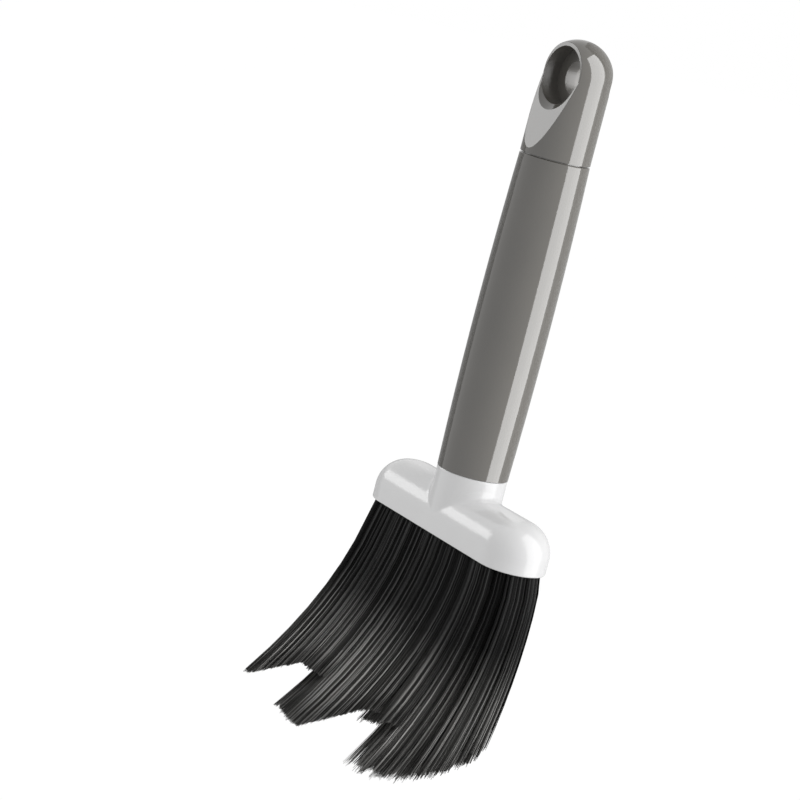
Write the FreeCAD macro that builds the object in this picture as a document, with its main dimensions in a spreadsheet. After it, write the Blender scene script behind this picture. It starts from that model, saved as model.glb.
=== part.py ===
import FreeCAD, Part
import math
import os
import Sketcher

# A crevice brush: a hanging cap and a white T-shaped head are plugged into the two ends of a
# barrel-shaped handle tube, and the head holds a block with rows of long black bristle tufts.
# Z runs up along the handle, X along the head's bar, and the front of the brush looks along -Y.
# The origin is the centre of the hanging hole. Lengths are millimetres, angles degrees.

SIZES = (
    ("cut_overrun", 1.0, "how far every cut runs past the solid"),
    ("hole_wall", 2.15, "cap beside the hole's wide mouth"),
    ("web_width", 3.85, "ring-shaped web inside the hanging hole"),
    ("web_thickness", 4.0, "the same web, from the handle's axis to the back"),
    ("back_step", 0.95, "how much narrower the hole is behind the web than at its mouth"),
    ("flare_start", 6.6, "where the hole's mouth begins to flare, in front of the handle's axis"),
    ("flare_angle", 48.0, "flare of the hole's mouth"),
    ("crown_wall", 2.9, "wall between the hole's mouth and the top of the cap"),
    ("cap_radius", 11.6, "cap, and the handle's top end"),
    ("seam_drop", 26.5, "from the hanging hole's centre down to the handle's top end"),
    ("seam_gap", 0.4, "height of the shadow gap between cap and handle"),
    ("seam_depth", 0.8, "depth of the shadow gap"),
    ("slant_start", 1.6, "from the shadow gap up to where the slanted front face begins"),
    ("slant_angle", 13.5, "lean of the slanted front face"),
    ("front_cut", 5.7, "how far the upright front face round the hole stands back"),
    ("front_round", 0.25, "rounding of the outer edge of the two front faces"),
    ("cap_floor", 3.0, "thickness under the hanging hole"),
    ("plug_length", 14.0, "part of the cap inside the tube"),
    ("plug_wall", 2.0, "wall of the cap's plug"),
    ("handle_length", 105.5, "handle tube"),
    ("handle_radius", 12.5, "handle at its widest"),
    ("handle_low_radius", 11.9, "handle's lower end"),
    ("tube_wall", 2.2, "handle tube at its narrower end"),
    ("tube_edge", 0.3, "chamfer on the tube's ends"),
    ("fit_gap", 0.1, "clearance between a plug and its bore"),
    ("lead_in", 1.0, "chamfer on the end of a plug"),
    ("head_height", 21.65, "head from its rim up to the handle's lower end"),
    ("head_length", 86.4, "head along its bar"),
    ("head_width", 23.8, "head across its bar"),
    ("neck_step", 0.08, "how far the round neck stands back from the handle and the bar"),
    ("neck_edge", 0.6, "rounding of the neck's upper edge"),
    ("neck_cove", 3.0, "hollow rounding between neck and bar"),
    ("bar_height", 15.4, "ridge of the bar above its rim"),
    ("end_straight", 4.5, "upright part of the bar's ends"),
    ("side_straight", 5.4, "upright part of the bar's long sides"),
    ("rim_round", 0.5, "rounding of the rim's outer edge"),
    ("rim_wall", 1.3, "wall of the head at its rim"),
    ("spigot_length", 18.0, "part of the head inside the tube"),
    ("spigot_wall", 2.2, "wall of the head's spigot"),
    ("neck_hollow", 4.0, "how far the spigot's hollow goes down into the neck"),
    ("block_depth", 3.0, "from the rim up to the tuft block"),
    ("block_thickness", 6.0, "tuft block"),
    ("tuft_hole_radius", 1.7, "blind hole for one tuft"),
    ("tuft_hole_depth", 4.5, "blind hole for one tuft"),
    ("tuft_gap", 0.3, "clearance between tufts, and around a tuft's foot"),
    ("end_inset", 4.3, "from the bar's ends to the outermost tufts"),
    ("side_inset", 3.7, "from the bar's sides to the outer rows of tufts"),
    ("staple_height", 1.4, "anchor staple"),
    ("staple_thickness", 0.4, "anchor staple"),
    ("bristle_length", 80.0, "bristles below the rim, along which they bend"),
    ("front_lean", 44.3, "how far the bristles lean to the front at that length, on the left"),
    ("right_lean", 13.9, "how far they lean to the front at the right edge"),
    ("clump_turn_angle", 55.0, "direction of the gaps between the clumps, from the front to the right"),
    ("clump_drop_angle", 14.5, "how far that direction falls from level"),
)

doc = FreeCAD.newDocument("crevice_brush")
sheet = doc.addObject("Spreadsheet::Sheet", "Sizes")
for row, (alias, value, meaning) in enumerate(SIZES, start=1):
    sheet.set(f"A{row}", meaning)
    sheet.set(f"B{row}", str(value))
    sheet.setAlias(f"B{row}", alias)
doc.recompute()

# Rows of tufts, from back to front
ROWS = ("back", "inner_back", "inner_front", "front")
OUTER_COLUMNS = 11
INNER_COLUMNS = 13

# Levels, radii and pitches that several pieces share, as expressions of the sheet's sizes
SEAM = "-Sizes.seam_drop"
NECK = "-(Sizes.seam_drop + Sizes.handle_length)"
RIM = "-(Sizes.seam_drop + Sizes.handle_length + Sizes.head_height)"
HOLE = "(Sizes.cap_radius - Sizes.hole_wall)"
CAP_TOP = f"({HOLE} + Sizes.crown_wall)"
DOME = f"({CAP_TOP} - Sizes.cap_radius)"
BORE = "(min(Sizes.cap_radius; Sizes.handle_low_radius) - Sizes.tube_wall)"
PLUG_RADIUS = f"({BORE} - Sizes.fit_gap)"
NECK_RADIUS = "(min(Sizes.handle_low_radius; Sizes.head_width / 2) - Sizes.neck_step)"
BLOCK_FACE = f"({RIM} + Sizes.block_depth)"
COLUMN_PITCH = f"((Sizes.head_length - 2 * Sizes.end_inset) / {INNER_COLUMNS - 1})"
ROW_PITCH = f"((Sizes.head_width - 2 * Sizes.side_inset) / {len(ROWS) - 1})"

# How the bristles spread, lean and end, as shares of their length and of half the head
ALONG_SPREAD_SHARE = 0.13
ACROSS_SPREAD_SHARE = 0.22
SPREAD_POWER = 0.5
LEAN_POWER = 1.9
RIGHT_EDGE_SHARE = 0.66
RIGHT_POWER = 1.3
DEPTH_SHARES = (0.0, 0.12, 0.35, 0.6, 0.85, 1.1)
SECTION_SIDES = 8
RIM_SHARE = 0.72
TAPER_START_SHARE = 0.9
TIP_SHARE = 0.5
TRIM_STEPS = 8
# For each clump, how far right its feet go, then its lower edge from left to right: place and depth
CLUMP_TRIM_SHARES = (
    (-0.27, (-1.28, 0.76, -0.75, 0.68)),
    (0.2, (-0.98, 0.89, -0.3, 0.77)),
    (1.0, (-0.38, 1.02, 0.68, 0.84)),
)


def size(alias):
    """One of the sheet's sizes."""
    return float(sheet.get(alias))


def worked_out(expression):
    """The number that an expression of the sheet's sizes gives."""
    return float(sheet.evalExpression(expression))


def new_body(name):
    body = doc.addObject("PartDesign::Body", name)
    body.Label = name
    return body


def new_sketch(body, name, role, level="0"):
    """A sketch on one of the body's origin planes, moved along the plane's normal."""
    sketch = body.newObject("Sketcher::SketchObject", name)
    plane = next(f for f in body.Origin.OriginFeatures if f.Role == role)
    sketch.AttachmentSupport = [(plane, "")]
    sketch.MapMode = "FlatFace"
    sketch.setExpression("AttachmentOffset.Base.z", level)
    return sketch


def tie(sketch, geometry, point, across, up):
    """Holds one point of a sketch at two expressions."""
    for kind, expression in (("DistanceX", across), ("DistanceY", up)):
        value = worked_out(expression)
        number = sketch.addConstraint(Sketcher.Constraint(kind, -1, 1, geometry, point, value))
        sketch.setExpression(f"Constraints[{number}]", expression)


def arc_through(start, middle, end):
    """An arc from start to end, and which of its two ends is the start."""
    arc = Part.Arc(start, middle, end).toShape().Curve
    turn = (middle - start).cross(end - middle).z
    first, last = (start, end) if turn > 0 else (end, start)
    flat = Part.Circle(arc.Center, FreeCAD.Vector(0, 0, 1), arc.Radius)
    piece = Part.ArcOfCircle(flat, flat.parameter(first), flat.parameter(last))
    return piece, (1, 2) if turn > 0 else (2, 1)


def outline(sketch, corners):
    """A closed outline. A corner is (across, up), with a third and fourth value where an arc
    through that middle point leads on to the next corner."""
    ends = []
    for corner, following in zip(corners, corners[1:] + corners[:1]):
        start = FreeCAD.Vector(worked_out(corner[0]), worked_out(corner[1]), 0)
        end = FreeCAD.Vector(worked_out(following[0]), worked_out(following[1]), 0)
        if len(corner) == 2:
            number = sketch.addGeometry(Part.LineSegment(start, end))
            ends.append((number, 1, 2))
            continue
        middle = FreeCAD.Vector(worked_out(corner[2]), worked_out(corner[3]), 0)
        arc, order = arc_through(start, middle, end)
        number = sketch.addGeometry(arc)
        mark = sketch.addGeometry(Part.Point(middle), True)
        tie(sketch, mark, 1, corner[2], corner[3])
        sketch.addConstraint(Sketcher.Constraint("PointOnObject", mark, 1, number))
        ends.append((number, *order))
    for corner, (number, first, last), (after, start, _) in zip(corners, ends, ends[1:] + ends[:1]):
        sketch.addConstraint(Sketcher.Constraint("Coincident", number, last, after, start))
        tie(sketch, number, first, corner[0], corner[1])


def circle(sketch, radius, across="0", up="0"):
    place = FreeCAD.Vector(worked_out(across), worked_out(up), 0)
    ring = Part.Circle(place, FreeCAD.Vector(0, 0, 1), worked_out(radius))
    number = sketch.addGeometry(ring)
    tie(sketch, number, 3, across, up)
    width = sketch.addConstraint(Sketcher.Constraint("Radius", number, worked_out(radius)))
    sketch.setExpression(f"Constraints[{width}]", radius)


def stadium(sketch, half_length, half_width):
    """A long outline with two straight sides and half-round ends."""
    straight = f"({half_length} - ({half_width}))"
    outline(sketch, [
        (f"-{straight}", f"-({half_width})"),
        (straight, f"-({half_width})", half_length, "0"),
        (straight, half_width),
        (f"-{straight}", half_width, f"-({half_length})", "0"),
    ])


def feature(body, kind, name, sketch):
    made = body.newObject(f"PartDesign::{kind}", name)
    made.Profile = sketch
    return made


def pad(body, name, sketch, length):
    made = feature(body, "Pad", name, sketch)
    made.setExpression("Length", length)
    return made


def revolve(body, name, sketch):
    made = feature(body, "Revolution", name, sketch)
    made.ReferenceAxis = (sketch, ["V_Axis"])
    made.Angle = 360
    return made


def cut_through(body, name, sketch):
    """A cut all the way through, to both sides of the sketch."""
    made = feature(body, "Pocket", name, sketch)
    made.Type = "ThroughAll"
    made.Midplane = True
    return made


def round_edges(body, name, kind, size, chosen):
    """A fillet or chamfer on the edges of the body's last feature that chosen() accepts."""
    doc.recompute()
    base = body.Tip
    edges = [f"Edge{k}" for k, edge in enumerate(base.Shape.Edges, start=1) if chosen(edge)]
    made = body.newObject(f"PartDesign::{kind}", name)
    made.Base = (base, edges)
    made.setExpression("Radius" if kind == "Fillet" else "Size", size)
    return made


def at_level(level):
    """Accepts edges that lie flat at a level."""
    height = worked_out(level)
    return lambda edge: all(abs(v.Z - height) < size("fit_gap") for v in edge.Vertexes)


def hanging_cap():
    """Domed cap with a slanted front, a hanging hole with a web inside, and a hollow plug."""
    body = new_body("hanging_cap")
    profile = new_sketch(body, "cap_profile", "XZ_Plane")
    gap_top = f"({SEAM} + Sizes.seam_gap)"
    shoulder = "(Sizes.cap_radius - Sizes.seam_depth)"
    plug_end = f"({SEAM} - Sizes.plug_length)"
    core = f"({PLUG_RADIUS} - Sizes.plug_wall)"
    core_top = f"-({HOLE} + Sizes.cap_floor)"
    diagonal = "Sizes.cap_radius * sqrt(0.5)"
    outline(profile, [
        ("0", core_top),
        (core, core_top),
        (core, plug_end),
        (f"({PLUG_RADIUS} - Sizes.lead_in)", plug_end),
        (PLUG_RADIUS, f"({plug_end} + Sizes.lead_in)"),
        (PLUG_RADIUS, SEAM),
        (shoulder, SEAM),
        (shoulder, gap_top),
        ("Sizes.cap_radius", gap_top),
        ("Sizes.cap_radius", DOME, diagonal, f"{DOME} + {diagonal}"),
        ("0", CAP_TOP),
    ])
    revolve(body, "cap_turned", profile)
    front = new_sketch(body, "cap_front", "YZ_Plane")
    foot = f"({gap_top} + Sizes.slant_start)"
    bend = f"({foot} + Sizes.front_cut / tan(Sizes.slant_angle * 1 deg))"
    upright = "(Sizes.front_cut - Sizes.cap_radius)"
    head = f"({CAP_TOP} + Sizes.cut_overrun)"
    past = "(Sizes.cap_radius + Sizes.cut_overrun)"
    outline(front, [
        ("-Sizes.cap_radius", foot),
        (upright, bend),
        (upright, head),
        (f"-{past}", head),
        (f"-{past}", foot),
    ])
    cut_through(body, "cap_front_cut", front)
    round_edges(body, "cap_front_edge", "Fillet", "Sizes.front_round", around_front)
    hole = new_sketch(body, "cap_hole", "XY_Plane")
    flare = f"({past} - Sizes.flare_start) * tan(Sizes.flare_angle * 1 deg)"
    outline(hole, [
        ("0", f"-{past}"),
        (f"{HOLE} + {flare}", f"-{past}"),
        (HOLE, "-Sizes.flare_start"),
        (HOLE, "0"),
        (f"{HOLE} - Sizes.web_width", "0"),
        (f"{HOLE} - Sizes.web_width", "Sizes.web_thickness"),
        (f"{HOLE} - Sizes.back_step", "Sizes.web_thickness"),
        (f"{HOLE} - Sizes.back_step", past),
        ("0", past),
    ])
    groove = feature(body, "Groove", "cap_hole_cut", hole)
    groove.ReferenceAxis = (hole, ["V_Axis"])
    groove.Angle = 360
    return body


def around_front(edge):
    """Accepts the outer edges of the cap's front faces, which lie in front and aren't level."""
    return edge.BoundBox.ZLength > size("fit_gap") and edge.BoundBox.YMin < -size("fit_gap")


def handle_tube():
    """Barrel-shaped tube, widest above its middle, with chamfered ends."""
    body = new_body("handle_tube")
    widest_share = 0.42
    widest = f"{SEAM} - Sizes.handle_length * {widest_share}"
    profile = new_sketch(body, "tube_profile", "XZ_Plane")
    outline(profile, [
        (BORE, SEAM),
        (BORE, NECK),
        ("Sizes.handle_low_radius", NECK, "Sizes.handle_radius", widest),
        ("Sizes.cap_radius", SEAM),
    ])
    revolve(body, "tube_turned", profile)
    round_edges(body, "tube_top_edge", "Chamfer", "Sizes.tube_edge", at_level(SEAM))
    return body


def head_shell():
    """White head: arched bar with a hollow underside, round neck and a hollow spigot."""
    body = new_body("head_shell")
    half_length = "Sizes.head_length / 2"
    half_width = "Sizes.head_width / 2"
    foot = new_sketch(body, "bar_foot", "XY_Plane", RIM)
    stadium(foot, half_length, half_width)
    pad(body, "bar_walls", foot, "Sizes.end_straight")
    end_round = "(Sizes.bar_height - Sizes.end_straight)"
    side_round = "(Sizes.bar_height - Sizes.side_straight)"
    height_shares = (0.0, 0.15, 0.31, 0.48, 0.64, 0.78, 0.89, 0.965, 1.0)
    sections = []
    for number, share in enumerate(height_shares):
        rise = f"{end_round} * {share}"
        side_rise = f"max(0; Sizes.end_straight + {rise} - Sizes.side_straight)"
        length = f"({half_length} - {end_round} + sqrt(max(0; {end_round}^2 - ({rise})^2)))"
        width = f"({half_width} - {side_round} + sqrt(max(0; {side_round}^2 - {side_rise}^2)))"
        level = f"{RIM} + Sizes.end_straight + {rise}"
        sketch = new_sketch(body, f"bar_section_{number}", "XY_Plane", level)
        stadium(sketch, length, width)
        sections.append(sketch)
    arch = feature(body, "AdditiveLoft", "bar_arch", sections[0])
    arch.Sections = sections[1:]
    neck = new_sketch(body, "neck_ring", "XY_Plane", f"{RIM} + Sizes.end_straight")
    circle(neck, NECK_RADIUS)
    pad(body, "neck", neck, "Sizes.head_height - Sizes.end_straight")
    round_edges(body, "neck_coves", "Fillet", "Sizes.neck_cove", beside_neck)
    round_edges(body, "neck_top_edge", "Fillet", "Sizes.neck_edge", at_level(NECK))
    round_edges(body, "rim_edge", "Fillet", "Sizes.rim_round", at_level(RIM))
    spigot = new_sketch(body, "spigot_ring", "XY_Plane", NECK)
    circle(spigot, PLUG_RADIUS)
    pad(body, "spigot", spigot, "Sizes.spigot_length")
    spigot_top = f"{NECK} + Sizes.spigot_length"
    round_edges(body, "spigot_lead_in", "Chamfer", "Sizes.lead_in", at_level(spigot_top))
    core = new_sketch(body, "spigot_core", "XY_Plane", spigot_top)
    circle(core, f"{PLUG_RADIUS} - Sizes.spigot_wall")
    hollow = feature(body, "Pocket", "spigot_hollow", core)
    hollow.setExpression("Length", "Sizes.spigot_length + Sizes.neck_hollow")
    mouth = new_sketch(body, "cavity_mouth", "XY_Plane", RIM)
    stadium(mouth, f"({half_length} - Sizes.rim_wall)", f"({half_width} - Sizes.rim_wall)")
    cavity = feature(body, "Pocket", "cavity", mouth)
    cavity.Reversed = True
    cavity.setExpression("Length", "Sizes.block_depth + Sizes.block_thickness")
    return body


def beside_neck(edge):
    """Accepts the edges where the neck meets the bar's flat-topped ridge to its left and right."""
    ridge = worked_out(f"{RIM} + Sizes.bar_height")
    radius = worked_out(NECK_RADIUS)
    near = worked_out("Sizes.rim_round")
    middle = edge.valueAt((edge.FirstParameter + edge.LastParameter) / 2)
    return abs(middle.z - ridge) < near and abs(math.hypot(middle.x, middle.y) - radius) < near


def tuft_places():
    """Name, place along the bar and place across it for every tuft, row by row."""
    for row, name in enumerate(ROWS):
        columns = INNER_COLUMNS if "inner" in name else OUTER_COLUMNS
        across = worked_out(ROW_PITCH) * ((len(ROWS) - 1) / 2 - row)
        for column in range(columns):
            along = worked_out(COLUMN_PITCH) * (column - (columns - 1) / 2)
            yield f"tuft_{name}_{column + 1:02d}", along, across


def tuft_block():
    """Plate inside the head with a blind hole for each tuft."""
    body = new_body("tuft_block")
    plate = new_sketch(body, "block_plate", "XY_Plane", BLOCK_FACE)
    inset = "(Sizes.rim_wall + Sizes.fit_gap)"
    stadium(plate, f"(Sizes.head_length / 2 - {inset})", f"(Sizes.head_width / 2 - {inset})")
    pad(body, "block_pad", plate, "Sizes.block_thickness")
    for rows_out, columns in ((1, INNER_COLUMNS), (3, OUTER_COLUMNS)):
        holes = new_sketch(body, f"block_holes_{columns}", "XY_Plane", BLOCK_FACE)
        first = f"-{COLUMN_PITCH} * {columns - 1} / 2"
        for side in (-1, 1):
            circle(holes, "Sizes.tuft_hole_radius", first, f"{ROW_PITCH} * {side * rows_out} / 2")
        pocket = feature(body, "Pocket", f"block_pocket_{columns}", holes)
        pocket.Reversed = True
        pocket.setExpression("Length", "Sizes.tuft_hole_depth")
        pattern = body.newObject("PartDesign::LinearPattern", f"block_pattern_{columns}")
        pattern.Originals = [pocket]
        pattern.Direction = (holes, ["H_Axis"])
        pattern.setExpression("Length", f"{COLUMN_PITCH} * {columns - 1}")
        pattern.Occurrences = columns
        body.Tip = pattern
    return body


def shaped(name, shape):
    """A piece whose shape is worked out here from the sheet's sizes."""
    made = doc.addObject("Part::Feature", name)
    made.Label = name
    made.Shape = shape
    return made


def anchor_staples():
    """One flat wire anchor at the bottom of each tuft hole."""
    length = 2 * (size("tuft_hole_radius") - size("fit_gap"))
    thickness = size("staple_thickness")
    height = size("staple_height")
    floor = worked_out(f"{BLOCK_FACE} + Sizes.tuft_hole_depth")
    staples = []
    for _, along, across in tuft_places():
        corner = FreeCAD.Vector(along - length / 2, across - thickness / 2, floor - height)
        staples.append(Part.makeBox(length, thickness, height, corner))
    return shaped("anchor_staples", Part.makeCompound(staples))


def parting(along, across):
    """A place as (across, near) in the direction in which the gaps between the clumps run."""
    turn = math.radians(size("clump_turn_angle"))
    return (
        along * math.cos(turn) + across * math.sin(turn),
        along * math.sin(turn) - across * math.cos(turn),
    )


def bent(along, across, share):
    """Where a bristle is at a share of the bristles' length: it spreads, and leans to the front."""
    half = size("head_length") / 2
    right = max(0.0, parting(along, across)[0] / (half * RIGHT_EDGE_SHARE))
    lean = size("front_lean") - (size("front_lean") - size("right_lean")) * right**RIGHT_POWER
    spread = share**SPREAD_POWER
    return (
        along * (1 + ALONG_SPREAD_SHARE * spread),
        across * (1 + ACROSS_SPREAD_SHARE * spread) - lean * share**LEAN_POWER,
    )


def course(along, across, depth):
    """The same at a depth below the rim, straight between the levels that all tufts share."""
    share = depth / size("bristle_length")
    upper = max(k for k, level in enumerate(DEPTH_SHARES[:-1]) if level <= share)
    above, below = DEPTH_SHARES[upper : upper + 2]
    part = (share - above) / (below - above)
    ends = zip(bent(along, across, above), bent(along, across, below))
    return [first + (last - first) * part for first, last in ends]


def trim_depth(along, across):
    """Depth of a tuft's tip. The field is trimmed in three clumps, each longest on its left."""
    half = size("head_length") / 2
    length = size("bristle_length")
    drop = math.radians(size("clump_drop_angle"))
    place = parting(along, across)[0] / half
    left, left_depth, right, right_depth = next(
        trim for limit, trim in CLUMP_TRIM_SHARES if place < limit
    )
    depth = length * left_depth
    for _ in range(TRIM_STEPS):
        seen, near = parting(*course(along, across, depth))
        fall = (seen / half - left) / (right - left)
        edge = length * (left_depth + (right_depth - left_depth) * fall)
        depth = (edge - near * math.sin(drop)) / math.cos(drop)
    return depth


def around(along, across, half_along, half_across):
    """Corners of a stretched polygon that fills a tuft's cell of the grid."""
    half_side = math.pi / SECTION_SIDES
    for k in range(SECTION_SIDES):
        turn = half_side * (2 * k + 1)
        yield (
            along + half_along * math.cos(turn) / math.cos(half_side),
            across + half_across * math.sin(turn) / math.cos(half_side),
        )


def section(corners, level):
    points = [FreeCAD.Vector(x, y, level) for x, y in corners]
    return Part.makePolygon(points + points[:1])


def tuft(name, along, across):
    """One tuft, from its foot under the staple to its trimmed and tapered tip."""
    face = worked_out(BLOCK_FACE)
    top = face + size("tuft_hole_depth") - size("staple_height") - size("fit_gap")
    foot = (size("tuft_hole_radius") - size("tuft_gap") / 2) * math.cos(math.pi / SECTION_SIDES)
    half_along = (worked_out(COLUMN_PITCH) - size("tuft_gap")) / 2
    half_across = (worked_out(ROW_PITCH) - size("tuft_gap")) / 2
    length = size("bristle_length")
    tip = trim_depth(along, across)
    sections = [section(around(along, across, foot, foot), level) for level in (top, face)]
    depths = [length * share for share in DEPTH_SHARES if length * share < tip * TAPER_START_SHARE]
    for depth in depths + [tip * TAPER_START_SHARE, tip]:
        thick = {0: RIM_SHARE, tip: TIP_SHARE}.get(depth, 1)
        cell = around(along, across, half_along * thick, half_across * thick)
        corners = [course(*corner, depth) for corner in cell]
        sections.append(section(corners, worked_out(RIM) - depth))
    return shaped(name, Part.makeLoft(sections, True, True))


pieces = [hanging_cap(), handle_tube(), head_shell(), tuft_block(), anchor_staples()]
pieces += [tuft(*place) for place in tuft_places()]
doc.recompute()
for item in doc.Objects:
    if "Invalid" in item.State or "Error" in item.State:
        raise RuntimeError(f"{item.Name} failed: {item.State}")
os.makedirs("parts", exist_ok=True)
for piece in pieces:
    if piece.Shape.isNull() or not piece.Shape.isValid():
        raise RuntimeError(f"{piece.Label} has no valid shape")
    piece.Shape.exportStep(f"parts/{piece.Label}.step")
    print(piece.Label, round(piece.Shape.Volume, 1), len(piece.Shape.Solids), len(piece.Shape.Faces))
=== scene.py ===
import math
import bpy
import numpy as np
from mathutils import Matrix, Vector


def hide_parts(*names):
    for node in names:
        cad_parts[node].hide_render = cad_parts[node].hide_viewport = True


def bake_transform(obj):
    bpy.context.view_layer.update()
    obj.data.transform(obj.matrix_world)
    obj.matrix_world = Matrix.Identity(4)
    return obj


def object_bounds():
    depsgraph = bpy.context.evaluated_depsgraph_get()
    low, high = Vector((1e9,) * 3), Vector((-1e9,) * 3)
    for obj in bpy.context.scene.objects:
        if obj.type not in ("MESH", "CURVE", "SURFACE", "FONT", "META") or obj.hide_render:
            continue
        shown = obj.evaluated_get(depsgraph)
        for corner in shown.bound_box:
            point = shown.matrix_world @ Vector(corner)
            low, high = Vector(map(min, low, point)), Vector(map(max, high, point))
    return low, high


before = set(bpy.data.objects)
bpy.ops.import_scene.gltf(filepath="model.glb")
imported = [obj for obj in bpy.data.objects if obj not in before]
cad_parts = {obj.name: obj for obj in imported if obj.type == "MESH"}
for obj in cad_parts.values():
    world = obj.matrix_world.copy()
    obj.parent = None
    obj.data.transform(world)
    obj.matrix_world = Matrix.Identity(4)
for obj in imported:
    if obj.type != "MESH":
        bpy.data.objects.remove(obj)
cad_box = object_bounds()

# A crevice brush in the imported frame: Z runs up along the handle, X along the head's bar, the front
# looks along -Y and the origin is the centre of the hanging hole. Sizes named _MM are millimetres.
MM = 0.001
RIM_MM = -153.65
HEAD_LENGTH_MM = 86.4
HEAD_WIDTH_MM = 23.8
RIM_WALL_MM = 1.3
HOLE_RADIUS_MM = 9.5

# The tufts' grid, and how bristles spread and lean
ROWS = ("back", "inner_back", "inner_front", "front")
OUTER_COLUMNS = 11
INNER_COLUMNS = 13
COLUMN_PITCH_MM = 6.483
ROW_PITCH_MM = 5.467
BRISTLE_LENGTH_MM = 80.0
FRONT_LEAN_MM = 44.3
RIGHT_LEAN_MM = 13.9
RIGHT_EDGE_SHARE = 0.66
RIGHT_EDGE_MM = HEAD_LENGTH_MM / 2 * RIGHT_EDGE_SHARE
RIGHT_POWER = 1.3
ALONG_SPREAD_SHARE = 0.13
ACROSS_SPREAD_SHARE = 0.22
SPREAD_POWER = 0.5
LEAN_POWER = 1.9
CLUMP_TURN = math.radians(55)
CLUMP_DROP = math.radians(14.5)

# Filaments: how many, how thick, and where their feet are
FILAMENTS_PER_TUFT = 150
RIGHT_EXTRA_SHARE = 0.6
FILAMENT_RADIUS_MM = 0.15
FILAMENT_SIDES = 4
FILAMENT_RINGS = 10
FOOT_RADIUS_MM = 1.45
FOOT_DEPTH_MM = -5.0
THROAT_DEPTH_MM = -0.5
SEED = 20

# How filaments gather in strands, wander, end and taper
STRANDS_PER_TUFT = 14
STRAND_PULL = 0.06
STRAND_RAGGED_SHARE = 1.2
TIP_RAGGED_SHARE = 0.6
WANDER_MM = 0.4
WANDER_POWER = 1.5
STRAY_SHARE = 0.004
STRAY_MM = 1.4
TAPER_START_SHARE = 0.9
TIP_TAPER = 0.6

# Their finish: tones, streaks of shiny ones, and a painted sheen, paler colour where they bend
TONE_BETA = (1.3, 3.2)
SHINY_SHARE = 0.3
STREAK_PITCH_MM = 1.3
STREAK_JITTER_SHARE = 0.16
# Where the painted sheen starts and peaks in depth below the rim, and how much it falls towards the tip
PAINTED_SHEEN_START = 0.29
PAINTED_SHEEN_PEAK = 0.68
PAINTED_SHEEN_FALL = 0.45

# Depths below the rim at which a filament may be cut
CUT_DEPTHS_MM = np.linspace(30.0, 95.0, 261)

# Right limit of each clump's feet, then its lower edge: places to the right and depths, and raggedness
CLUMPS_MM = (
    (-10.9, ((-54.9, 61.1), (-38.9, 53.2), (-32.3, 55.4)), 0.2),
    (6.0, ((-42.1, 69.6), (-34.5, 72.7), (-16.2, 62.4), (-13.0, 61.6)), 0.2),
    (10.2, ((-13.4, 65.8), (-6.9, 63.8)), 0.3),
    (math.inf, ((-18.8, 79.4), (2.3, 78.2), (14.0, 74.0), (25.5, 65.2), (29.5, 56.0)), 0.9),
)

# Noise is spread over the middle of its range, and its bumps are this deep, in metres
NOISE_RANGE = (0.3, 0.7)
BUMP_DEPTH = 0.0001

# The camera, its place in metres
SENSOR_WIDTH_MM = 36
FOCAL_LENGTH_MM = 121.5
CAMERA_PLACE = (0.69284, -0.52036, 0.04091)
CAMERA_AZIMUTH = math.radians(55.0)
CAMERA_ELEVATION = math.radians(10.202)
CAMERA_ROLL = math.radians(14.388)

# The floor, the fill and the lamps, in metres
FLOOR_DROP = 0.35
FLOOR_REACH = 12
FLOOR_SHADE = 0.86
FLOOR_ROUGHNESS = 0.9
FLOOR_GLOW = 1.06
FLOOR_GLOW_SHARE = 0.9
WORLD_FILL = 0.58
SIDE_PLACE = (0.577, 0.423, 0.425)
SIDE_WIDTH = 0.78
SIDE_HEIGHT = 1.8
SIDE_LEAN = math.radians(13.8)
BRISTLE_LAMP_LEAN = math.radians(48)


# Materials
def new_material(name):
    """An empty node material with its shader and output."""
    material = bpy.data.materials.new(name)
    material.use_nodes = True
    nodes = material.node_tree.nodes
    return material, nodes, material.node_tree.links, nodes["Principled BSDF"]


def noise(nodes, links, scale, detail, stretch=(1, 1, 1)):
    """Noise in the object's own coordinates, stretched along its axes."""
    place = nodes.new("ShaderNodeTexCoord")
    mapping = nodes.new("ShaderNodeMapping")
    mapping.inputs["Scale"].default_value = stretch
    texture = nodes.new("ShaderNodeTexNoise")
    texture.inputs["Scale"].default_value = scale
    texture.inputs["Detail"].default_value = detail
    links.new(place.outputs["Object"], mapping.inputs["Vector"])
    links.new(mapping.outputs["Vector"], texture.inputs["Vector"])
    return texture.outputs["Fac"]


def ramp(nodes, links, factor, stops):
    """Colours between stops of (position, colour)."""
    made = nodes.new("ShaderNodeValToRGB")
    elements = made.color_ramp.elements
    while len(elements) < len(stops):
        elements.new(0.5)
    for element, (position, colour) in zip(elements, stops):
        element.position = position
        element.color = (*colour, 1)
    links.new(factor, made.inputs["Fac"])
    return made.outputs["Color"]


def spread(nodes, links, factor, low, high):
    """A number between low and high."""
    made = nodes.new("ShaderNodeMapRange")
    made.inputs["To Min"].default_value = low
    made.inputs["To Max"].default_value = high
    links.new(factor, made.inputs["Value"])
    return made.outputs["Result"]


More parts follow.
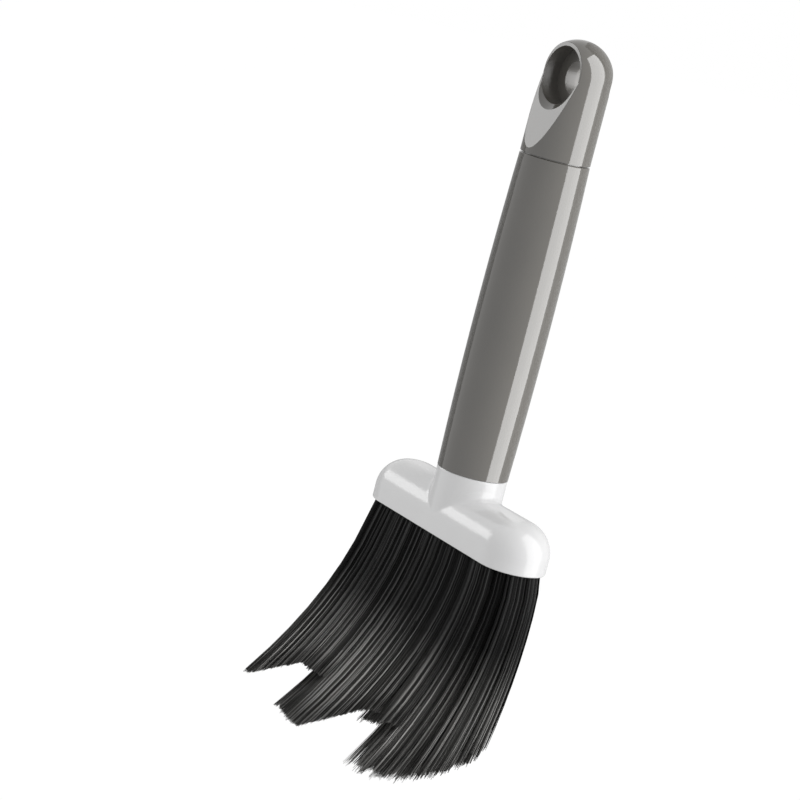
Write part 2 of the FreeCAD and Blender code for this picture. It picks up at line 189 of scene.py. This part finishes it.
def moulded_plastic(name, colours, roughness, gloss, grain):
    """Glossy moulded plastic: slight cloudiness, uneven gloss, faint flow lines and a fine grain."""
    material, nodes, links, shader = new_material(name)
    cloud = noise(nodes, links, scale=45, detail=3)
    links.new(ramp(nodes, links, cloud, list(zip(NOISE_RANGE, colours))), shader.inputs["Base Color"])
    patches = noise(nodes, links, scale=160, detail=4)
    links.new(spread(nodes, links, patches, *roughness), shader.inputs["Roughness"])
    flow = noise(nodes, links, scale=260, detail=2, stretch=(1, 1, 0.06))
    fine = noise(nodes, links, scale=2600, detail=2)
    both = nodes.new("ShaderNodeMath")
    both.operation = "ADD"
    links.new(flow, both.inputs[0])
    links.new(fine, both.inputs[1])
    bump = nodes.new("ShaderNodeBump")
    bump.inputs["Strength"].default_value = grain
    bump.inputs["Distance"].default_value = BUMP_DEPTH
    links.new(both.outputs["Value"], bump.inputs["Height"])
    links.new(bump.outputs["Normal"], shader.inputs["Normal"])
    shader.inputs["Specular IOR Level"].default_value = gloss
    return material


def satin_hole(material, radius, roughness):
    """Rougher plastic inside the hanging hole, whose axis is the object's Y axis."""
    nodes, links = material.node_tree.nodes, material.node_tree.links
    place = nodes.new("ShaderNodeTexCoord")
    off_axis = nodes.new("ShaderNodeVectorMath")
    off_axis.operation = "MULTIPLY"
    off_axis.inputs[1].default_value = (1, 0, 1)
    links.new(place.outputs["Object"], off_axis.inputs[0])
    distance = nodes.new("ShaderNodeVectorMath")
    distance.operation = "LENGTH"
    links.new(off_axis.outputs["Vector"], distance.inputs[0])
    inside = nodes.new("ShaderNodeMath")
    inside.operation = "LESS_THAN"
    inside.inputs[1].default_value = radius
    links.new(distance.outputs["Value"], inside.inputs[0])
    shader = nodes["Principled BSDF"]
    mix = nodes.new("ShaderNodeMix")
    mix.inputs["B"].default_value = roughness
    links.new(inside.outputs["Value"], mix.inputs["Factor"])
    links.new(shader.inputs["Roughness"].links[0].from_socket, mix.inputs["A"])
    links.new(mix.outputs["Result"], shader.inputs["Roughness"])


def drawn_wire():
    """Brass wire with lengthwise drawing marks."""
    material, nodes, links, shader = new_material("drawn_wire")
    marks = noise(nodes, links, scale=900, detail=3, stretch=(0.08, 1, 1))
    colours = ((0.50, 0.38, 0.16), (0.72, 0.58, 0.30))
    links.new(ramp(nodes, links, marks, list(zip(NOISE_RANGE, colours))), shader.inputs["Base Color"])
    links.new(spread(nodes, links, marks, low=0.25, high=0.45), shader.inputs["Roughness"])
    shader.inputs["Metallic"].default_value = 1
    return material


def nylon(name, root_stops, painted_sheen_stops, roughness, gloss):
    """Black filaments, each with its own tone, with a painted sheen: paler colour where they bend."""
    material, nodes, links, shader = new_material(name)
    tone = nodes.new("ShaderNodeAttribute")
    tone.attribute_name = "tone"
    painted_sheen = nodes.new("ShaderNodeAttribute")
    painted_sheen.attribute_name = "painted_sheen"
    # The bend colours are painted sheen: paler colour that stands in for the highlight where the
    # filaments bend
    root = ramp(nodes, links, tone.outputs["Fac"], root_stops)
    painted_sheen_colour = ramp(nodes, links, tone.outputs["Fac"], painted_sheen_stops)
    mix = nodes.new("ShaderNodeMix")
    mix.data_type = "RGBA"
    links.new(painted_sheen.outputs["Fac"], mix.inputs["Factor"])
    links.new(root, mix.inputs["A"])
    links.new(painted_sheen_colour, mix.inputs["B"])
    links.new(mix.outputs["Result"], shader.inputs["Base Color"])
    links.new(spread(nodes, links, tone.outputs["Fac"], *roughness), shader.inputs["Roughness"])
    shader.inputs["Specular IOR Level"].default_value = gloss
    return material


grey_plastic = moulded_plastic(
    "grey_plastic",
    colours=((0.088, 0.083, 0.074), (0.098, 0.092, 0.082)),
    roughness=(0.06, 0.09), gloss=1.0, grain=0.03,
)
white_plastic = moulded_plastic(
    "white_plastic",
    colours=((0.76, 0.76, 0.765), (0.80, 0.80, 0.80)),
    roughness=(0.15, 0.21), gloss=0.9, grain=0.03,
)
black_plastic = moulded_plastic(
    "black_plastic",
    colours=((0.012, 0.012, 0.012), (0.022, 0.021, 0.020)),
    roughness=(0.45, 0.6), gloss=0.5, grain=0.12,
)
satin_hole(grey_plastic, HOLE_RADIUS_MM * MM, roughness=0.4)
# The bend colours of both nylons are painted sheen, far paler than black nylon's own colour
matt_nylon = nylon(
    "matt_nylon",
    root_stops=((0.0, (0.003, 0.003, 0.003)), (0.6, (0.006, 0.006, 0.006)), (1.0, (0.012, 0.012, 0.012))),
    painted_sheen_stops=((0.0, (0.04, 0.039, 0.037)), (0.6, (0.1, 0.098, 0.094)), (1.0, (0.17, 0.166, 0.158))),
    roughness=(0.5, 0.4), gloss=0.12,
)
shiny_nylon = nylon(
    "shiny_nylon",
    root_stops=((0.0, (0.012, 0.012, 0.012)), (0.6, (0.03, 0.03, 0.03)), (1.0, (0.07, 0.069, 0.067))),
    painted_sheen_stops=((0.0, (0.32, 0.315, 0.303)), (0.6, (0.6, 0.59, 0.57)), (1.0, (0.8, 0.79, 0.765))),
    roughness=(0.36, 0.28), gloss=0.35,
)
FINISHES = {
    "hanging_cap": grey_plastic,
    "handle_tube": grey_plastic,
    "head_shell": white_plastic,
    "tuft_block": black_plastic,
    "anchor_staples": drawn_wire(),
}
for node, finish in FINISHES.items():
    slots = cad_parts[node].data.materials
    slots.clear()
    slots.append(finish)


# Bristles
def parted(x, y):
    """Places as (to the right, near), in the direction in which the gaps between the clumps run."""
    right = x * math.cos(CLUMP_TURN) + y * math.sin(CLUMP_TURN)
    near = x * math.sin(CLUMP_TURN) - y * math.cos(CLUMP_TURN)
    return right, near


def course(x, y, depth):
    """Where bristles with their feet at x, y are at a depth below the rim."""
    share = np.maximum(depth, 0.0) / BRISTLE_LENGTH_MM
    right = np.maximum(parted(x, y)[0] / RIGHT_EDGE_MM, 0.0)
    lean = FRONT_LEAN_MM - (FRONT_LEAN_MM - RIGHT_LEAN_MM) * right**RIGHT_POWER
    wider = share**SPREAD_POWER
    return (
        x * (1 + ALONG_SPREAD_SHARE * wider),
        y * (1 + ACROSS_SPREAD_SHARE * wider) - lean * share**LEAN_POWER,
    )


def cut_depths(x, y):
    """Depths at which bristles with their feet at x, y are trimmed, and how ragged their clump is."""
    path_x, path_y = course(x[:, None], y[:, None], CUT_DEPTHS_MM[None, :])
    right, near = parted(path_x, path_y)
    down = CUT_DEPTHS_MM * math.cos(CLUMP_DROP) + near * math.sin(CLUMP_DROP)
    foot = parted(x, y)[0]
    ends = np.zeros(len(x))
    raggedness = np.zeros(len(x))
    left_limit = -np.inf
    for limit, edge, ragged in CLUMPS_MM:
        mine = (foot >= left_limit) & (foot < limit)
        left_limit = limit
        places, levels = zip(*edge)
        past = down >= np.interp(right, places, levels)
        first = np.where(past.any(axis=1), past.argmax(axis=1), len(CUT_DEPTHS_MM) - 1)
        ends = np.where(mine, CUT_DEPTHS_MM[first], ends)
        raggedness = np.where(mine, ragged, raggedness)
    return ends, raggedness


def within_rim(x, y):
    """Places kept inside the head's walls, whose ends are round."""
    reach = HEAD_WIDTH_MM / 2 - RIM_WALL_MM - FILAMENT_RADIUS_MM
    straight = (HEAD_LENGTH_MM - HEAD_WIDTH_MM) / 2
    beyond = np.maximum(np.abs(x) - straight, 0)
    inward = np.minimum(reach / np.maximum(np.hypot(beyond, y), FILAMENT_RADIUS_MM), 1)
    return np.sign(x) * (np.minimum(np.abs(x), straight) + beyond * inward), y * inward


def tuft_places():
    """Name, place along the bar and place across it for every tuft, row by row."""
    for row, name in enumerate(ROWS):
        columns = INNER_COLUMNS if "inner" in name else OUTER_COLUMNS
        across = ROW_PITCH_MM * ((len(ROWS) - 1) / 2 - row)
        for column in range(columns):
            along = COLUMN_PITCH_MM * (column - (columns - 1) / 2)
            yield f"{name}_{column + 1:02d}", along, across


def filament_paths(along, across, rng):
    """Centre lines of a tuft's filaments, from inside their hole to their cut tips."""
    # The lean fans the bristles out on the right, where there are more of them
    right = max(parted(along, across)[0] / RIGHT_EDGE_MM, 0)
    count = round(FILAMENTS_PER_TUFT * (1 + RIGHT_EXTRA_SHARE * right))
    turn = rng.uniform(0, 2 * math.pi, count)
    out = np.sqrt(rng.uniform(0, 1, count))
    # From the round hole each tuft fills its cell of the grid
    stretch = 1 / np.maximum(np.abs(np.cos(turn)), np.abs(np.sin(turn)))
    place_x = out * np.cos(turn) * stretch
    place_y = out * np.sin(turn) * stretch
    x, y = within_rim(along + place_x * COLUMN_PITCH_MM / 2, across + place_y * ROW_PITCH_MM / 2)
    foot_x = along + out * np.cos(turn) * FOOT_RADIUS_MM
    foot_y = across + out * np.sin(turn) * FOOT_RADIUS_MM
    ends, raggedness = cut_depths(x, y)
    centres = rng.uniform(-1, 1, (STRANDS_PER_TUFT, 2)) * (COLUMN_PITCH_MM / 2, ROW_PITCH_MM / 2)
    nearest = np.argmin(
        np.hypot(x[:, None] - along - centres[:, 0], y[:, None] - across - centres[:, 1]), axis=1)
    pull_x = along + centres[nearest, 0] - x
    pull_y = across + centres[nearest, 1] - y
    tip_share = rng.normal(0, TIP_RAGGED_SHARE, count)
    strand_share = rng.normal(0, STRAND_RAGGED_SHARE, STRANDS_PER_TUFT)[nearest]
    ends = ends + raggedness * (tip_share + strand_share)
    stray = rng.uniform(0, 1, count) < STRAY_SHARE
    reach = np.where(stray, STRAY_MM, WANDER_MM)
    wander_x = rng.normal(0, 1, count) * reach
    wander_y = rng.normal(0, 1, count) * reach
    points = np.empty((count, FILAMENT_RINGS, 3))
    for ring in range(FILAMENT_RINGS):
        # The first ring is the foot in its hole, and the others run from the rim to the tip
        if ring == 0:
            depth = np.full(count, FOOT_DEPTH_MM)
            path_x, path_y = foot_x, foot_y
        else:
            share = (ring - 1) / (FILAMENT_RINGS - 2)
            depth = THROAT_DEPTH_MM + (ends - THROAT_DEPTH_MM) * share
            path_x, path_y = course(x, y, depth)
        depth_share = np.clip(depth / BRISTLE_LENGTH_MM, 0, 1)
        drawn = STRAND_PULL * depth_share
        loose = depth_share**WANDER_POWER
        points[:, ring, 0] = path_x + pull_x * drawn + wander_x * loose
        points[:, ring, 1] = path_y + pull_y * drawn + wander_y * loose
        points[:, ring, 2] = RIM_MM - depth
    return points


def tuft_mesh(name, points, tone, shiny):
    """Thin tapered tubes round the centre lines, some in the shiny finish."""
    count = len(points)
    turns = np.arange(FILAMENT_SIDES) * 2 * math.pi / FILAMENT_SIDES
    ring = np.stack((np.cos(turns), np.sin(turns), np.zeros(FILAMENT_SIDES)), axis=1)
    share = np.linspace(0, 1, FILAMENT_RINGS)
    thinner = np.clip((share - TAPER_START_SHARE) / (1 - TAPER_START_SHARE), 0, 1)
    radii = FILAMENT_RADIUS_MM * (1 - (1 - TIP_TAPER) * thinner)
    corners = points[:, :, None, :] + ring[None, None] * radii[None, :, None, None]
    numbers = np.arange(count * FILAMENT_RINGS * FILAMENT_SIDES)
    numbers = numbers.reshape(count, FILAMENT_RINGS, FILAMENT_SIDES)
    after = np.roll(numbers, -1, axis=2)
    walls = np.stack((numbers[:, :-1], numbers[:, 1:], after[:, 1:], after[:, :-1]), axis=-1)
    faces = walls.reshape(-1, 4).tolist()
    faces += numbers[:, 0, :].tolist()
    faces += numbers[:, -1, ::-1].tolist()
    mesh = bpy.data.meshes.new(name)
    mesh.from_pydata((corners.reshape(-1, 3) * MM).tolist(), [], faces)
    mesh.shade_smooth()
    for finish in (matt_nylon, shiny_nylon):
        mesh.materials.append(finish)
    walls_of_one = (FILAMENT_RINGS - 1) * FILAMENT_SIDES
    finishes = np.concatenate((np.repeat(shiny, walls_of_one), shiny, shiny))
    mesh.polygons.foreach_set("material_index", finishes.astype(np.int32))
    per_point = FILAMENT_RINGS * FILAMENT_SIDES
    # Painted sheen: the share of the paler bend colour, rising with depth below the rim and falling
    # towards the tip
    bent = (RIM_MM - points[:, :, 2]) / BRISTLE_LENGTH_MM
    rise = np.clip((bent - PAINTED_SHEEN_START) / (PAINTED_SHEEN_PEAK - PAINTED_SHEEN_START), 0, 1)
    fall = np.clip((share - PAINTED_SHEEN_PEAK) / (1 - PAINTED_SHEEN_PEAK), 0, 1)
    painted_sheen = rise**2 * (3 - 2 * rise) * (1 - PAINTED_SHEEN_FALL * fall)
    values = {
        "tone": np.repeat(tone, per_point),
        "painted_sheen": np.repeat(painted_sheen.ravel(), FILAMENT_SIDES),
    }
    for attribute, value in values.items():
        layer = mesh.attributes.new(attribute, "FLOAT", "POINT")
        layer.data.foreach_set("value", value.astype(np.float32))
    return mesh


rng = np.random.default_rng(SEED)
tufts = []
for place, along, across in tuft_places():
    points = filament_paths(along, across, rng)
    tone = rng.beta(*TONE_BETA, len(points))
    # Shiny filaments, glossier and with the palest painted sheen, lie in narrow slices, which show as
    # fine streaks
    slices = parted(points[:, 1, 0], points[:, 1, 1])[0] / STREAK_PITCH_MM
    shiny = (slices + rng.normal(0, STREAK_JITTER_SHARE, len(points))) % 1 < SHINY_SHARE
    mesh = tuft_mesh(f"bristles_{place}", points, tone, shiny)
    tuft = bpy.data.objects.new(f"bristles_{place}", mesh)
    bpy.context.scene.collection.objects.link(tuft)
    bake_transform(tuft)
    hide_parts(f"tuft_{place}")
    tufts.append(tuft)


# Floor, light and camera
def seen_directly(nodes, links):
    """1 for rays from the camera, from gloss and through clear things, and 0 for the rest."""
    light_path = nodes.new("ShaderNodeLightPath")
    seen = light_path.outputs["Is Camera Ray"]
    for kind in ("Is Glossy Ray", "Is Transmission Ray"):
        either = nodes.new("ShaderNodeMath")
        either.operation = "MAXIMUM"
        links.new(seen, either.inputs[0])
        links.new(light_path.outputs[kind], either.inputs[1])
        seen = either.outputs["Value"]
    return seen


def floor(level):
    """A wide pale floor that shows white but keeps the shadow."""
    mesh = bpy.data.meshes.new("floor")
    signs = ((-1, -1), (1, -1), (1, 1), (-1, 1))
    corners = [(x * FLOOR_REACH, y * FLOOR_REACH, level) for x, y in signs]
    mesh.from_pydata(corners, [], [(0, 1, 2, 3)])
    plane = bpy.data.objects.new("floor", mesh)
    bpy.context.scene.collection.objects.link(plane)
    material, nodes, links, shader = new_material("pale_floor")
    shader.inputs["Base Color"].default_value = (FLOOR_SHADE, FLOOR_SHADE, FLOOR_SHADE, 1)
    shader.inputs["Roughness"].default_value = FLOOR_ROUGHNESS
    shader.inputs["Specular IOR Level"].default_value = 0
    glow = nodes.new("ShaderNodeEmission")
    glow.inputs["Strength"].default_value = FLOOR_GLOW
    share = nodes.new("ShaderNodeMath")
    share.operation = "MULTIPLY"
    share.inputs[1].default_value = FLOOR_GLOW_SHARE
    mix = nodes.new("ShaderNodeMixShader")
    links.new(seen_directly(nodes, links), share.inputs[0])
    links.new(share.outputs["Value"], mix.inputs["Fac"])
    links.new(shader.outputs["BSDF"], mix.inputs[1])
    links.new(glow.outputs["Emission"], mix.inputs[2])
    links.new(mix.outputs["Shader"], nodes["Material Output"].inputs["Surface"])
    mesh.materials.append(material)


def softbox(name, place, width, height, power, lean=0, receivers=(), state="INCLUDE"):
    """A lamp that faces the object, its top leaning in, and lights only the receivers or all but them."""
    lamp = bpy.data.lights.new(name, "AREA")
    lamp.shape = "RECTANGLE"
    lamp.size = width
    lamp.size_y = height
    lamp.energy = power
    holder = bpy.data.objects.new(name, lamp)
    holder.location = place
    drop = math.tan(lean) * math.hypot(place[0], place[1])
    holder.rotation_euler = Vector((-place[0], -place[1], -drop)).to_track_quat("-Z", "Y").to_euler()
    holder.visible_camera = False
    bpy.context.scene.collection.objects.link(holder)
    if receivers:
        lit = bpy.data.collections.new(f"{name}_receivers")
        for piece in receivers:
            lit.objects.link(piece)
        for entry in lit.collection_objects:
            entry.light_linking.link_state = state
        holder.light_linking.receiver_collection = lit


def card(name, place, width, height, shade):
    """An upright card that only reflections show."""
    mesh = bpy.data.meshes.new(name)
    across = Vector((-place[1], place[0], 0)).normalized() * width / 2
    rise = Vector((0, 0, height / 2))
    middle = Vector(place)
    corners = [middle + i * across + k * rise for i, k in ((-1, -1), (1, -1), (1, 1), (-1, 1))]
    mesh.from_pydata([tuple(c) for c in corners], [], [(0, 1, 2, 3)])
    plane = bpy.data.objects.new(name, mesh)
    bpy.context.scene.collection.objects.link(plane)
    material, nodes, links, shader = new_material(name)
    shader.inputs["Base Color"].default_value = (shade, shade, shade, 1)
    shader.inputs["Roughness"].default_value = 1
    mesh.materials.append(material)
    plane.visible_camera = False
    plane.visible_diffuse = False
    plane.visible_shadow = False


def studio_world():
    """White behind everything, and a soft fill for the object."""
    world = bpy.data.worlds.new("studio")
    world.use_nodes = True
    bpy.context.scene.world = world
    nodes, links = world.node_tree.nodes, world.node_tree.links
    background = nodes["Background"]
    background.inputs["Color"].default_value = (1, 1, 1, 1)
    strength = nodes.new("ShaderNodeMapRange")
    strength.inputs["To Min"].default_value = WORLD_FILL
    strength.inputs["To Max"].default_value = 1
    links.new(seen_directly(nodes, links), strength.inputs["Value"])
    links.new(strength.outputs["Result"], background.inputs["Strength"])


def camera():
    """The photograph's view: from the front right, a little above, and rolled."""
    lens = bpy.data.cameras.new("camera")
    lens.sensor_width = SENSOR_WIDTH_MM
    lens.lens = FOCAL_LENGTH_MM
    side = Vector((math.cos(CAMERA_AZIMUTH), math.sin(CAMERA_AZIMUTH), 0))
    back = Vector((
        math.sin(CAMERA_AZIMUTH) * math.cos(CAMERA_ELEVATION),
        -math.cos(CAMERA_AZIMUTH) * math.cos(CAMERA_ELEVATION),
        math.sin(CAMERA_ELEVATION),
    ))
    top = back.cross(side)
    right = math.cos(CAMERA_ROLL) * side + math.sin(CAMERA_ROLL) * top
    up = math.cos(CAMERA_ROLL) * top - math.sin(CAMERA_ROLL) * side
    holder = bpy.data.objects.new("camera", lens)
    turned = Matrix((right, up, back)).transposed().to_4x4()
    holder.matrix_world = Matrix.Translation(CAMERA_PLACE) @ turned
    bpy.context.scene.collection.objects.link(holder)
    bpy.context.scene.camera = holder


bpy.context.scene.view_settings.view_transform = "Standard"
floor(cad_box[0].z - FLOOR_DROP)
studio_world()
grey_pieces = [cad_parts[node] for node in ("hanging_cap", "handle_tube")]
# Two softboxes share a place: one lights the grey pieces and the other the rest
for name, power, state in (("handle_softbox", 17, "INCLUDE"), ("right_softbox", 8, "EXCLUDE")):
    softbox(name, SIDE_PLACE, SIDE_WIDTH, SIDE_HEIGHT, power, SIDE_LEAN, grey_pieces, state)
softbox("left_softbox", (-0.70, -0.47, 0.13), width=0.5, height=0.32, power=1.15)
softbox(
    "bristle_softbox", (-0.335, -0.58, 0.54), width=0.5, height=0.5, power=4,
    lean=BRISTLE_LAMP_LEAN, receivers=tufts,
)
card("left_card", (-0.6, 0.1, -0.175), width=0.9, height=0.29, shade=0.5)
card("back_card", (-0.2, 0.75, 0.8), width=1.1, height=3.0, shade=0.8)
camera()
